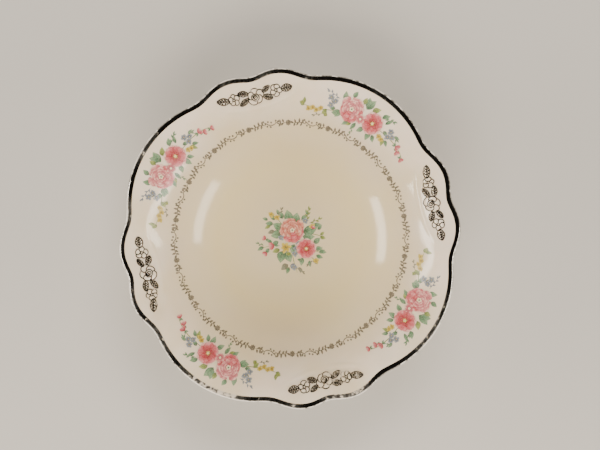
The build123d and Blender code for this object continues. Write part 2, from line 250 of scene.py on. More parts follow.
# A profile carried round the lobed rim
def makeTurnedTree():
    tree, given = startTree("turned_profile", {
        "Geometry": "Geometry", "Outline": "Object", "Steps Around": "Int", "Profile Points": "Int",
        "Rim Radius": "Float", "Finish": "Material",
    })
    pointsAlong, stepsAround = given["Profile Points"], given["Steps Around"]
    seam = addNode(tree, "ShaderNodeMath", {0: stepsAround}, {1: 1.0}, operation="ADD").outputs[0]
    grid = addNode(tree, "GeometryNodeMeshGrid", {"Vertices X": seam, "Vertices Y": pointsAlong})
    index = addNode(tree, "GeometryNodeInputIndex").outputs[0]
    column = addNode(tree, "ShaderNodeMath", {0: index, 1: pointsAlong}, operation="DIVIDE").outputs[0]
    column = addNode(tree, "ShaderNodeMath", {0: column}, operation="FLOOR").outputs[0]
    row = addNode(tree, "ShaderNodeMath", {0: index, 1: pointsAlong}, operation="MODULO").outputs[0]
    place = addNode(tree, "GeometryNodeInputPosition").outputs[0]
    flute = addNode(
        tree, "GeometryNodeInputNamedAttribute", None, {"Name": "flute"}, data_type="FLOAT"
    ).outputs[0]
    profilePlace = addNode(
        tree, "GeometryNodeSampleIndex", {"Geometry": given["Geometry"], "Value": place, "Index": row},
        data_type="FLOAT_VECTOR",
    ).outputs[0]
    profileFlute = addNode(
        tree, "GeometryNodeSampleIndex", {"Geometry": given["Geometry"], "Value": flute, "Index": row},
        data_type="FLOAT",
    ).outputs[0]
    outline = addNode(tree, "GeometryNodeObjectInfo", {"Object": given["Outline"]}).outputs["Geometry"]
    around = addNode(tree, "ShaderNodeMath", {0: column, 1: stepsAround}, operation="MODULO").outputs[0]
    outlinePlace = addNode(
        tree, "GeometryNodeSampleIndex", {"Geometry": outline, "Value": place, "Index": around},
        data_type="FLOAT_VECTOR",
    ).outputs[0]
    reach = addNode(tree, "ShaderNodeVectorMath", {0: outlinePlace}, operation="LENGTH").outputs["Value"]
    heading = addNode(
        tree, "ShaderNodeVectorMath", {0: outlinePlace}, operation="NORMALIZE"
    ).outputs["Vector"]
    dip = addNode(
        tree, "ShaderNodeMath", {0: reach, 1: given["Rim Radius"]}, operation="SUBTRACT"
    ).outputs[0]
    split = addNode(tree, "ShaderNodeSeparateXYZ", {0: profilePlace}).outputs
    radius = addNode(
        tree, "ShaderNodeMath", {0: dip, 1: profileFlute, 2: split["X"]}, operation="MULTIPLY_ADD"
    ).outputs[0]
    flat = addNode(
        tree, "ShaderNodeVectorMath", {0: heading, "Scale": radius}, operation="SCALE"
    ).outputs["Vector"]
    up = addNode(tree, "ShaderNodeCombineXYZ", {"Z": split["Z"]}).outputs[0]
    target = addNode(tree, "ShaderNodeVectorMath", {0: flat, 1: up}, operation="ADD").outputs["Vector"]
    moved = addNode(tree, "GeometryNodeSetPosition", {"Geometry": grid.outputs["Mesh"], "Position": target})
    turned = addNode(tree, "GeometryNodeFlipFaces", {"Mesh": moved.outputs[0]})
    closed = addNode(
        tree, "GeometryNodeMergeByDistance", {"Geometry": turned.outputs[0]}, {"Distance": weldGap}
    ).outputs[0]
    smooth = addNode(tree, "GeometryNodeSetShadeSmooth", {"Geometry": closed}).outputs[0]
    return endTree(tree, smooth, given["Finish"])


# Runs a tree on a start mesh and returns its result as a plain object at the origin
def runTree(name, start, tree, values):
    holder = newPiece(name + "_start", start)
    modifier = holder.modifiers.new("nodes", "NODES")
    modifier.node_group = tree
    sockets = {
        item.name: item.identifier for item in tree.interface.items_tree
        if item.item_type == "SOCKET" and item.in_out == "INPUT"
    }
    for label, value in values.items():
        modifier[sockets[label]] = value
    holder.data.update()
    bpy.context.view_layer.update()
    result = bpy.data.meshes.new_from_object(holder.evaluated_get(bpy.context.evaluated_depsgraph_get()))
    result.name = name
    while len(result.materials) > 1 and result.materials[0] is None:
        result.materials.pop(index=0)
    holder.modifiers.clear()
    bpy.data.objects.remove(holder)
    return newPiece(name, result)


turnedTree = makeTurnedTree()
turnSteps = np.linspace(0, 2 * math.pi, shape["turns"], endpoint=False)
rimLine = rimReach(turnSteps) * mm
outlineMesh = bpy.data.meshes.new("rim_outline")
outlineMesh.from_pydata(
    np.column_stack([rimLine * np.cos(turnSteps), rimLine * np.sin(turnSteps), 0 * rimLine]).tolist(), [], []
)
rimOutline = bpy.data.objects.new("rim_outline", outlineMesh)


# Piece whose profile rows are radius, height and flute share in mm
def turnedPiece(name, profile, finish):
    mesh = bpy.data.meshes.new(name + "_profile")
    mesh.from_pydata([(row[0] * mm, 0, row[1] * mm) for row in profile], [], [])
    mesh.attributes.new("flute", "FLOAT", "POINT").data.foreach_set("value", profile[:, 2].astype(np.float32))
    return runTree(name, mesh, turnedTree, {
        "Outline": rimOutline, "Steps Around": shape["turns"], "Profile Points": len(profile),
        "Rim Radius": shape["rimRadius"] * mm, "Finish": finish,
    })


# Patch, peel, grit, cloud, brush, mottle and stipple are the sizes of the patterns in mm.  Grit and
# brush marks are finer on a real bowl, and are drawn as coarse as they need to be to show
glazeFinish = {
    "ivory": "#dccdb1", "cream": "#dfcd9f", "blush": "#f5e5d0", "patch": 45.0, "peel": 9.0, "gloss": 0.12,
    "light": 1.52,          # index of refraction
    "depth": 0.12, "spread": (0.003, 0.002, 0.0012),      # light that sinks into the clay, in metres
}
biscuitFinish = {"soiled": "#c3b59d", "clean": "#dccfb9", "grit": 0.8, "gloss": 0.8}
# the grey colour of the metal on the moulding is partly platinum, partly painted shade
platinumFinish = {"rubbed": "#6f675b", "patch": 3.5, "cloud": 1000 / 22, "brush": 1.6}
enamelFinish = {"mottle": 2.2, "stipple": 0.45, "gloss": 0.22, "light": 1.5}


# Clear lead-type glaze on ivory porcelain, dipped: wet gloss, warm and slightly uneven in tone
def makeGlaze(name="dipped_clear_glaze_on_ivory_porcelain", rubbed=False):
    material, tree, shader = startMaterial(name)
    coords = addNode(tree, "ShaderNodeTexCoord").outputs["Object"]
    split = addNode(tree, "ShaderNodeSeparateXYZ", {0: coords}).outputs
    flat = addNode(tree, "ShaderNodeCombineXYZ", {"X": split["X"], "Y": split["Y"]}).outputs[0]
    radius = addNode(tree, "ShaderNodeVectorMath", {0: flat}, operation="LENGTH").outputs["Value"]
    share = addNode(
        tree, "ShaderNodeMapRange", {"Value": radius}, {"From Min": 0.0, "From Max": shape["rimRadius"] * mm}
    ).outputs[0]
    tone = addNode(tree, "ShaderNodeValToRGB", {"Fac": share}, stops=[
        (0.0, glazeFinish["ivory"]), (0.45, glazeFinish["cream"]), (0.68, glazeFinish["ivory"]),
        (0.82, glazeFinish["blush"]),
    ]).outputs["Color"]
    cloud = addNode(
        tree, "ShaderNodeTexNoise", {"Vector": coords}, {"Scale": 1000 / glazeFinish["patch"], "Detail": 3.0}
    ).outputs["Fac"]
    cloudShare = addNode(
        tree, "ShaderNodeMapRange", {"Value": cloud}, {"From Min": 0.42, "From Max": 0.68, "To Max": 0.55}
    ).outputs[0]
    mixed = addNode(
        tree, "ShaderNodeMix", {"Factor": cloudShare, "A": tone}, {"B": toLinear(glazeFinish["cream"])},
        data_type="RGBA",
    )
    colour = mixed.outputs["Result"]
    if rubbed:      # platinum brushed thinly over the moulding and its leaf hatching, heavier in the hollows and darker than platinum: partly real metal, partly painted shade
        share = addNode(tree, "ShaderNodeAttribute", attribute_name="rubbed").outputs["Fac"]
        colour = addNode(
            tree, "ShaderNodeMix", {"Factor": share, "A": colour}, {"B": toLinear(platinumFinish["rubbed"])},
            data_type="RGBA",
        ).outputs["Result"]
        tree.links.new(share, shader.inputs["Metallic"])
    tree.links.new(colour, shader.inputs["Base Color"])
    peel = addNode(
        tree, "ShaderNodeTexNoise", {"Vector": coords}, {"Scale": 1000 / glazeFinish["peel"], "Detail": 1.0}
    ).outputs["Fac"]
    bump = addNode(tree, "ShaderNodeBump", {"Height": peel}, {"Strength": 0.35, "Distance": 0.00006})
    tree.links.new(bump.outputs[0], shader.inputs["Normal"])
    shader.inputs["Roughness"].default_value = glazeFinish["gloss"]
    shader.inputs["IOR"].default_value = glazeFinish["light"]
    shader.inputs["Subsurface Weight"].default_value = glazeFinish["depth"]
    shader.inputs["Subsurface Radius"].default_value = glazeFinish["spread"]
    shader.inputs["Subsurface Scale"].default_value = 1.0
    return material


# Bare fired porcelain, ground flat: dry and finely gritty, a little soiled
def makeBiscuit():
    material, tree, shader = startMaterial("ground_biscuit_porcelain")
    coords = addNode(tree, "ShaderNodeTexCoord").outputs["Object"]
    grit = addNode(
        tree, "ShaderNodeTexNoise", {"Vector": coords}, {"Scale": 1000 / biscuitFinish["grit"], "Detail": 4.0}
    ).outputs["Fac"]
    colour = addNode(
        tree, "ShaderNodeValToRGB", {"Fac": grit},
        stops=[(0.3, biscuitFinish["soiled"]), (0.6, biscuitFinish["clean"])],
    ).outputs["Color"]
    tree.links.new(colour, shader.inputs["Base Color"])
    bump = addNode(tree, "ShaderNodeBump", {"Height": grit}, {"Strength": 0.5, "Distance": 0.0001})
    tree.links.new(bump.outputs[0], shader.inputs["Normal"])
    shader.inputs["Roughness"].default_value = biscuitFinish["gloss"]
    return material


# Platinum lustre, brushed on and fired: a thin mirror that rubs through to the glaze in patches
def makePlatinum(name, keep, metal, thin, worn):
    material, tree, shader = startMaterial(name)
    coords = addNode(tree, "ShaderNodeTexCoord").outputs["Object"]
    wear = addNode(
        tree, "ShaderNodeTexNoise", {"Vector": coords},
        {"Scale": 1000 / platinumFinish["patch"], "Detail": 6.0, "Roughness": 0.65},
    ).outputs["Fac"]
    large = addNode(
        tree, "ShaderNodeTexNoise", {"Vector": coords},
        {"Scale": 1000 / platinumFinish["cloud"], "Detail": 2.0},
    ).outputs["Fac"]
    both = addNode(tree, "ShaderNodeMath", {0: wear, 1: large}, operation="ADD").outputs[0]
    gone = addNode(
        tree, "ShaderNodeMapRange", {"Value": both},
        {"From Min": 2 * keep, "From Max": 2 * keep + 0.08},
    ).outputs[0]
    brush = addNode(
        tree, "ShaderNodeTexNoise", {"Vector": coords},
        {"Scale": 1000 / platinumFinish["brush"], "Detail": 2.0},
    ).outputs["Fac"]
    metal = addNode(
        tree, "ShaderNodeValToRGB", {"Fac": brush}, stops=[(0.35, thin), (0.6, metal)]
    ).outputs["Color"]
    colour = addNode(
        tree, "ShaderNodeMix", {"Factor": gone, "A": metal}, {"B": toLinear(worn)}, data_type="RGBA"
    )
    tree.links.new(colour.outputs["Result"], shader.inputs["Base Color"])
    left = addNode(tree, "ShaderNodeMath", {1: gone}, {0: 1.0}, operation="SUBTRACT").outputs[0]
    tree.links.new(left, shader.inputs["Metallic"])
    rough = addNode(
        tree, "ShaderNodeMapRange", {"Value": large},
        {"From Min": 0.44, "From Max": 0.62, "To Min": 0.12, "To Max": 0.6},
    ).outputs[0]
    tree.links.new(rough, shader.inputs["Roughness"])
    return material


# On-glaze enamel from a printed transfer, fired: satin-gloss, stippled, thin enough for the glaze to show
def makeEnamel(name, stops, edge, vein=0.0, fade=0.25):
    material, tree, shader = startMaterial(name)
    onPetal = addNode(tree, "ShaderNodeUVMap").outputs[0]
    spot = addNode(tree, "ShaderNodeSeparateXYZ", {0: onPetal}).outputs
    coords = addNode(tree, "ShaderNodeTexCoord").outputs["Object"]
    mottle = addNode(
        tree, "ShaderNodeTexNoise", {"Vector": coords},
        {"Scale": 1000 / enamelFinish["mottle"], "Detail": 3.0},
    ).outputs["Fac"]
    swing = addNode(
        tree, "ShaderNodeMapRange", {"Value": mottle},
        {"From Min": 0.3, "From Max": 0.7, "To Min": -0.22, "To Max": 0.22},
    ).outputs[0]
    along = addNode(tree, "ShaderNodeMath", {0: spot["X"], 1: swing}, operation="ADD").outputs[0]
    colour = addNode(tree, "ShaderNodeValToRGB", {"Fac": along}, stops=stops).outputs["Color"]
    side = addNode(tree, "ShaderNodeMath", {0: spot["Y"]}, {1: 0.5}, operation="SUBTRACT").outputs[0]
    side = addNode(tree, "ShaderNodeMath", {0: side}, operation="ABSOLUTE").outputs[0]
    rim = addNode(
        tree, "ShaderNodeMapRange", {"Value": side}, {"From Min": 0.36, "From Max": 0.5, "To Max": 0.6}
    ).outputs[0]
    colour = addNode(
        tree, "ShaderNodeMix", {"Factor": rim, "A": colour}, {"B": toLinear(edge)}, data_type="RGBA"
    ).outputs["Result"]
    if vein:
        middle = addNode(
            tree, "ShaderNodeMapRange", {"Value": side},
            {"From Min": 0.0, "From Max": 0.07, "To Min": vein, "To Max": 0.0},
        ).outputs[0]
        colour = addNode(
            tree, "ShaderNodeMix", {"Factor": middle, "A": colour}, {"B": toLinear(edge)}, data_type="RGBA"
        ).outputs["Result"]
    dots = addNode(
        tree, "ShaderNodeTexVoronoi", {"Vector": coords}, {"Scale": 1000 / enamelFinish["stipple"]}
    ).outputs["Distance"]
    thin = addNode(
        tree, "ShaderNodeMapRange", {"Value": dots}, {"From Min": 0.35, "From Max": 0.75, "To Max": fade}
    ).outputs[0]
    colour = addNode(
        tree, "ShaderNodeMix", {"Factor": thin, "A": colour}, {"B": toLinear(glazeFinish["ivory"])},
        data_type="RGBA",
    ).outputs["Result"]
    tree.links.new(colour, shader.inputs["Base Color"])
    shader.inputs["Roughness"].default_value = enamelFinish["gloss"]
    shader.inputs["IOR"].default_value = enamelFinish["light"]
    return material


glaze = makeGlaze()
platinumAndShadeGlaze = makeGlaze("clear_glaze_with_rubbed_platinum", rubbed=True)
biscuit = makeBiscuit()
lustres = {      # how much is kept, metal, thin metal, the glaze where it is rubbed through
    "fired_platinum_lustre_band": (0.562, "#c9c5bd", "#8b8479", "#d8ccba"),
    # the worn edge: real wear, with its rubbed-through glaze colour painted whiter than the glaze elsewhere,
    # a painted highlight along the lip
    "worn_platinum_lustre_edge": (0.46, "#dedad3", "#a8a299", "#f1ebe0"),
    # the line metal colours are far darker than platinum: a painted reflection of the dark room
    "fired_platinum_lustre_line": (0.56, "#5e574c", "#2c2721", "#cfc3b0"),
}
bandPlatinum, wornEdgeLustrePaintedHighlight, lineLustrePaintedDark = (makePlatinum(name, *values) for name, values in lustres.items())
enamelColours = {      # root to tip, outline
    "pale_rose": ([(0.0, "#8e2c40"), (0.5, "#bb5866"), (0.78, "#d98d8c"), (1.0, "#eec8b9")], "#b0505e"),
    "deep_rose": ([(0.0, "#7d0f20"), (0.4, "#b3263d"), (0.75, "#cd5f6b"), (1.0, "#e29a9a")], "#961f36"),
    "leaf_green": ([(0.0, "#2b5239"), (0.45, "#5a8760"), (1.0, "#8fab84")], "#2f553a"),
    "moss_green": ([(0.0, "#4c6125"), (0.5, "#7d9142"), (1.0, "#a9b268")], "#4d5f27"),
    "yellow": ([(0.0, "#7d5a10"), (0.4, "#bfa026"), (1.0, "#d8c85c")], "#8c741c"),
    "blue_grey": ([(0.0, "#46526a"), (0.5, "#74808c"), (1.0, "#a5aaab")], "#4f5c70"),
    "stamen": ([(0.0, "#a8692c"), (0.5, "#f0e2b4"), (1.0, "#f6ecd0")], "#d8b773"),
    "salmon_rose": ([(0.0, "#8c3232"), (0.5, "#bd6355"), (0.8, "#d78f7c"), (1.0, "#e8bda6")], "#a4493f"),
    "grey_line": ([(0.0, "#4a4c3c"), (0.5, "#6a6e58"), (1.0, "#8c8f79")], "#4a4d3b"),
}
enamelVeins = {"leaf_green": 0.8, "moss_green": 0.7}
enamelFades = {"stamen": 0.1, "grey_line": 0.3}        # share of the glaze that shows between the dots
enamels = [
    makeEnamel(name + "_enamel", stops, edge, enamelVeins.get(name, 0.0), enamelFades.get(name, 0.25))
    for name, (stops, edge) in enamelColours.items()
]
ringInk = makeEnamel(
    "brown_grey_ring_enamel", [(0.0, "#39332a"), (0.5, "#4a4439"), (1.0, "#655d4f")], "#37322a", fade=0.35
)
paleRose, deepRose, leafGreen, mossGreen, yellow, blueGrey, stamen, salmonRose, greyLine = range(len(enamels))
print("finishes made")

# Body of the bowl

steps = shape["sections"]
half = shape["halfWall"]
lipSteps = shape["lipSteps"]
floorCentre = np.array([[0.0, floorHeight, 0.0], [shape["floorMiddle"], floorHeight, 0.0]])
inside = wallSide(steps, half)
lip = lipRound(lipSteps, half)[1:-1]
outside = wallSide(steps, -half)[::-1]
footOuter = shape["footRadius"] + shape["footFace"] / 2 + shape["footGlaze"]
footInner = shape["footRadius"] - shape["footFace"] / 2 - shape["footGlaze"]
underside = np.interp(footOuter + shape["footFlare"], outside[::-1, 0], outside[::-1, 1])
recessEdge = footInner - shape["footFlare"] / 2
recessTop = np.interp(recessEdge, outside[::-1, 0], outside[::-1, 1])


# Short fillet from one point to another, pulled towards bulge
def curveDown(start, end, bulge, count):
    t = np.linspace(0, 1, count)[:, None]
    points = (1 - t) ** 2 * np.array(start) + 2 * t * (1 - t) * np.array(bulge) + t ** 2 * np.array(end)
    return np.column_stack([points, np.zeros(count)])


outerWall = outside[outside[:, 0] > footOuter + shape["footFlare"] + shape["joinStart"]]
joinOuter = curveDown(
    (outerWall[-1, 0], outerWall[-1, 1]), (footOuter + 0.35, shape["bareFoot"]),
    (footOuter + shape["footFlare"] * 0.7, underside - 0.6), shape["joinSteps"],
)[1:]
glazeProfile = np.vstack([floorCentre, inside, lip, outerWall, joinOuter])
glazeCoat = turnedPiece("glaze_coat_surface", glazeProfile, glaze)

underFloor = outside[outside[:, 0] < recessEdge - shape["joinStart"]]
joinInner = curveDown(
    (footInner - 0.2, shape["bareFoot"]), (underFloor[0, 0], underFloor[0, 1]),
    (footInner - shape["footFlare"] * 0.45, recessTop - 0.3), shape["joinSteps"],
)[:-1]
recess = shape["footRecess"]
baseProfile = np.vstack([joinInner, underFloor, [[shape["floorMiddle"], recess, 0], [0.0, recess, 0]]])
baseGlaze = turnedPiece("base_glaze_surface", baseProfile, glaze)

footLow, footTop = shape["footRound"], shape["bareFoot"]
ringProfile = [
    (footInner - 0.1, footTop + 1.2), (footInner + 0.05, footTop), (footInner + 0.25, footLow),
    (footInner + 0.6, 0.0), (footOuter - 0.6, 0.0), (footOuter - 0.25, footLow), (footOuter - 0.05, footTop),
    (footOuter + 0.15, footTop + 1.2), (footInner - 0.1, footTop + 1.2),
]
clayFoot = turnedPiece("clay_foot_ring", np.array([(r, z, 0.0) for r, z in ringProfile[::-1]]), biscuit)

bandHalf = half + shape["bandLift"]
bandInside = wallSide(steps * 4, bandHalf)
bandInside = bandInside[bandInside[:, 0] > bandInside[-1, 0] - shape["bandWidth"]]
lipMetal = lipRound(4 * lipSteps, bandHalf)
edgeStep = round(4 * lipSteps * shape["edgeShare"])
rimBand = turnedPiece("rim_band_metal", np.vstack([bandInside, lipMetal[1:edgeStep + 1]]), bandPlatinum)
edgeEnd = round(4 * lipSteps * shape["edgeEnd"])
rimEdge = turnedPiece("rim_edge_metal", lipMetal[edgeStep:edgeEnd + 1], wornEdgeLustrePaintedHighlight)
print("body of the bowl made")

for piece, node, slot in (
    (glazeCoat, "glaze_coat", "ivory_glaze"), (baseGlaze, "base_glaze", "ivory_glaze"),
    (clayFoot, "clay_body", "biscuit_porcelain"), (rimBand, "rim_band", "platinum_lustre"),
    (rimEdge, "rim_band", "platinum_lustre"),
):
    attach(piece, "root")
    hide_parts(node)

# Printed flowers: flat patches laid on the glaze in thin steps

printLift = {"first": 0.02, "step": 0.012, "patch": 0.0012}    # mm; patch keeps any two petals apart


def newPrint():
    return {"points": [], "lifts": [], "faces": [], "uvs": [], "finishes": []}


# Grid of points with u along and v across, as one patch of a print
def addPatch(sheet, x, y, u, v, finish, layer):
    start = sum(len(block) for block in sheet["points"])
    rows, columns = x.shape
    sheet["points"].append(np.column_stack([x.ravel(), y.ravel()]))
    lift = printLift["first"] + printLift["step"] * layer + printLift["patch"] * len(sheet["lifts"])
    sheet["lifts"].append(np.full(x.size, lift))
    index = start + np.arange(rows * columns).reshape(rows, columns)
    corners = np.stack([index[:-1, :-1], index[1:, :-1], index[1:, 1:], index[:-1, 1:]], -1).reshape(-1, 4)
    sheet["faces"].append(corners)
    sheet["uvs"].append(np.column_stack([u.ravel(), v.ravel()]))
    sheet["finishes"].append(np.full(len(corners), finish))


# Petal or leaf from its root.  Fullness moves the widest part to the tip, blunt rounds the ends
def addPetal(
    sheet, place, heading, length, width, finish, layer, fullness=1.5, blunt=0.6, bend=0.0, cells=(7, 4)
):
    a, b = np.meshgrid(np.linspace(0, 1, cells[0] + 1), np.linspace(-1, 1, cells[1] + 1), indexing="ij")
    half = width / 2 * np.maximum(np.sin(math.pi * a ** fullness), 0.0) ** blunt
    turn = math.radians(heading) + bend * a
    ahead = a * length
    x = place[0] + ahead * np.cos(turn) - half * b * np.sin(turn)
    y = place[1] + ahead * np.sin(turn) + half * b * np.cos(turn)
    addPatch(sheet, x, y, a, b / 2 + 0.5, finish, layer)


def addLeaf(sheet, place, heading, length, width, finish, layer, bend=0.15):
    addPetal(sheet, place, heading, length, width, finish, layer, 0.8, 1.0, bend, (8, 4))


# Thin line through points, tapered at both ends
def addStem(sheet, places, width, finish, layer):
    knots = np.array(places, float)
    share = np.linspace(0, 1, 4 * len(knots))
    at = np.linspace(0, 1, len(knots))
    degree = min(2, len(knots) - 1)
    line = np.column_stack([np.polyval(np.polyfit(at, knots[:, axis], degree), share) for axis in (0, 1)])
    ahead = np.gradient(line, axis=0)
    ahead /= np.hypot(ahead[:, 0], ahead[:, 1])[:, None]
    half = width / 2 * np.sin(math.pi * np.clip(share, 0.06, 0.94)) ** 0.4
    side = np.array([-1.0, 1.0])
    x = line[:, 0, None] - ahead[:, 1, None] * half[:, None] * side
    y = line[:, 1, None] + ahead[:, 0, None] * half[:, None] * side
    u, v = np.meshgrid(share, np.array([0.4, 0.6]), indexing="ij")
    addPatch(sheet, x, y, u, v, finish, layer)


def addDot(sheet, place, radius, finish, layer):
    a, turn = np.meshgrid(np.linspace(0, 1, 3), np.linspace(0, 2 * math.pi, 11), indexing="ij")
    x = place[0] + radius * a * np.cos(turn)
    y = place[1] + radius * a * np.sin(turn)
    addPatch(sheet, x, y, a, 0.5 + 0 * a, finish, layer)


floretPetals = (1.0, 0.82, 0.93, 0.76, 1.06, 0.88)     # lengths of the petals, none alike


def addFloret(sheet, place, radius, petals, finish, heart, layer, turn=0):
    for number in range(petals):
        addPetal(
            sheet, place, turn + number * 360 / petals, radius * floretPetals[number],
            radius * 2.6 / petals + 0.4, finish, layer + number % 2, cells=(4, 2),
        )
    addDot(sheet, place, radius * 0.14, heart, layer + 2)


# Thin stem with small leaves on alternate sides
def addSprig(sheet, place, heading, length, leaves, leafLength, finish, layer):
    along = np.array([math.cos(math.radians(heading)), math.sin(math.radians(heading))])
    place = np.array(place, float)
    addStem(sheet, [place, place + along * length], 0.35, finish, layer)
    for number in range(leaves):
        root = place + along * length * (number + 0.6) / leaves
        side = 42 if number % 2 else -42
        addLeaf(sheet, root, heading + side, leafLength, leafLength * 0.42, finish, layer + 1)
    addLeaf(sheet, place + along * length, heading, leafLength, leafLength * 0.42, finish, layer + 1)


rosePlan = {
    "seed": 11,             # the engraver's unevenness, the same in each print
    # Petals in each ring, and their root, length and width as shares of the rose's radius
    "rings": ((9, 0.40, 0.62, 0.78), (8, 0.28, 0.56, 0.60), (7, 0.14, 0.48, 0.50), (5, 0.03, 0.34, 0.40)),
}


# Many-petalled pale rose, its outer petals deeper on the side that shadeSide points to
def addFullRose(sheet, place, radius, shadeSide, layer, light, shade):
    hand = np.random.default_rng(rosePlan["seed"])
    for ring, (petals, root, length, width) in enumerate(rosePlan["rings"]):
        for number in range(petals):
            turn = number * 360 / petals + ring * 17 + hand.normal(0, 7)
            away = math.radians(turn)
            start = (place[0] + root * radius * math.cos(away), place[1] + root * radius * math.sin(away))
            facing = math.cos(away - math.radians(shadeSide)) + hand.normal(0, 0.3)
            deep = facing > (0.25 if ring < 2 else 0.7)
            addPetal(
                sheet, start, turn + hand.normal(0, 12), length * radius * hand.uniform(0.86, 1.1),
                width * radius * hand.uniform(0.8, 1.15), shade if deep else light,
                layer + 2 * ring + number % 2, cells=(6, 4),
            )
    for number in range(5):
        turn = math.radians(72 * number + 20)
        spot = (place[0] + 0.13 * radius * math.cos(turn), place[1] + 0.13 * radius * math.sin(turn))
        addDot(sheet, spot, 0.075 * radius, stamen, layer + 9)
    addDot(sheet, place, 0.07 * radius, leafGreen, layer + 10)


# Five broad petals, deep in the middle, with pale petals behind
def addOpenRose(sheet, place, radius, turn, layer):
    for number in range(5):
        heading = turn + 36 + number * 72
        addPetal(sheet, place, heading, radius, radius * 0.95, paleRose, layer + number % 2)
    for number in range(5):
        heading = turn + number * 72
        addPetal(sheet, place, heading, radius * 0.93, radius * 0.92, deepRose, layer + 2 + number % 2)
    for number in range(5):
        away = math.radians(turn + number * 72 + 36)
        spot = (place[0] + 0.13 * radius * math.cos(away), place[1] + 0.13 * radius * math.sin(away))
        addDot(sheet, spot, 0.06 * radius, yellow, layer + 6)
    addDot(sheet, place, 0.11 * radius, stamen, layer + 5)


def addBud(sheet, place, heading, size, layer):
    addLeaf(sheet, place, heading + 150, size * 0.9, size * 0.4, leafGreen, layer)
    addLeaf(sheet, place, heading - 150, size * 0.9, size * 0.4, leafGreen, layer)
    for side in (-28, 28, 0):
        finish = deepRose if side else paleRose
        addPetal(sheet, place, heading + side, size * 1.25, size * 0.7, finish, layer + 1)


# Turns a print into one piece.  toBowl carries flat points to the bowl, in mm seen from above
def finishPrint(sheet, name, toBowl, finishes):
    flat = np.vstack(sheet["points"])
    x, y = toBowl(flat[:, 0], flat[:, 1])
    points = onBowl(x, y, np.concatenate(sheet["lifts"])) * mm
    faces = np.vstack(sheet["faces"])
    mesh = bpy.data.meshes.new(name)
    mesh.from_pydata(points.tolist(), [], faces.tolist())
    uvs = np.vstack(sheet["uvs"])
    corners = np.empty(len(mesh.loops), np.int32)
    mesh.loops.foreach_get("vertex_index", corners)
    mesh.uv_layers.new(name="petal").data.foreach_set("uv", uvs[corners].ravel().astype(np.float32))
    for finish in finishes:
        mesh.materials.append(finish)
    mesh.polygons.foreach_set("material_index", np.concatenate(sheet["finishes"]).astype(np.int32))
    tidyMesh(mesh)
    return newPiece(name, mesh)


# Drops edges and faces that have no size, and turns every face up
def tidyMesh(mesh):
    shell = bmesh.new()
    shell.from_mesh(mesh)
    bmesh.ops.dissolve_degenerate(shell, edges=shell.edges, dist=0.000002)
    for face in shell.faces:
        face.smooth = True
    shell.normal_update()
    bmesh.ops.reverse_faces(shell, faces=[face for face in shell.faces if face.normal.z < 0])
    shell.to_mesh(mesh)
    shell.free()


# Rose sprays on the flange

sprayPlan = {"middle": 45.0, "radius": 100.0, "paleRose": 8.6, "openRose": 8.0, "floret": 2.5, "bud": 3.0}


